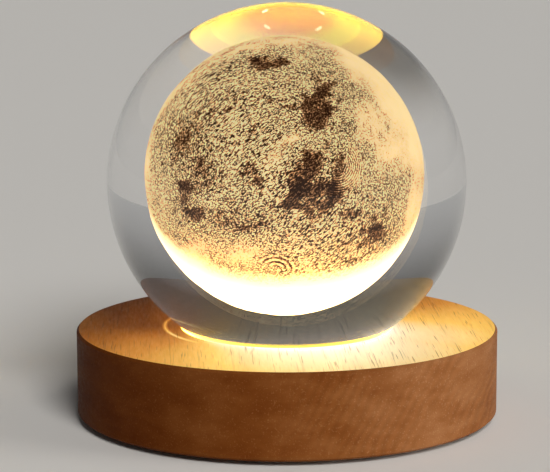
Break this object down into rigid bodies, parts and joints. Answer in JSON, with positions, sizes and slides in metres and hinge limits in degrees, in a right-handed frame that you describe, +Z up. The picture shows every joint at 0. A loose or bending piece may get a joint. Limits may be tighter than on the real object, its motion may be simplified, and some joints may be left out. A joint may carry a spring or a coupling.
{
  "type": "table lamp",
  "caption": "Solid glass ball with a moon engraved inside it, lit from below by lamps in the round beech disc that it rests in.",
  "frame": {"origin": "on the surface that the lamp stands on, under the middle of the beech disc", "axes": "+Z up through the middle of the ball, +Y towards the power inlet at the back, -Y towards the viewer"},
  "size_m": [0.0944, 0.0944, 0.0928],
  "materials": {
    "beech": "sanded and oiled, satin",
    "clear_glass": "polished",
    "engraved_glass": "fine points of frosted glass",
    "white_plastic": "matt",
    "clear_plastic": "clear, lightly moulded",
    "black_plastic": "fine moulded grain",
    "zinc_steel": "zinc plated",
    "nickel": "nickel plated",
    "foot_rubber": "matt",
    "board": "white solder mask",
    "lamp_case": "moulded",
    "lamp_window": "clear resin over phosphor",
    "chip": "glazed",
    "solder": "dull bright",
    "red_lead": "flexible",
    "black_lead": "flexible"
  },
  "bodies": {
    "base": {"wood_base": "beech", "bottom_cover": "black_plastic", "cover_screws": "zinc_steel", "rubber_feet": "foot_rubber", "light_cup": "white_plastic", "cup_screws": "zinc_steel", "lens_cover": "clear_plastic", "led_board": "board", "board_screws": "zinc_steel", "led_packages": "lamp_case", "led_windows": "lamp_window", "chip_resistors": "chip", "jack_body": "black_plastic", "jack_nut": "nickel", "jack_pin": "nickel", "jack_spring": "nickel", "jack_lugs": "nickel", "red_wire": "red_lead", "black_wire": "black_lead", "solder_joints": "solder", "heat_shrink_sleeves": "black_lead"},
    "ball": {"glass_ball": "clear_glass", "engraved_moon": "engraved_glass"}
  },
  "joints": [
    {"name": "ball_lift", "type": "slide", "parent": "base", "child": "ball", "axis": [0, 0, 1], "range_m": [0, 0.05]}
  ]
}
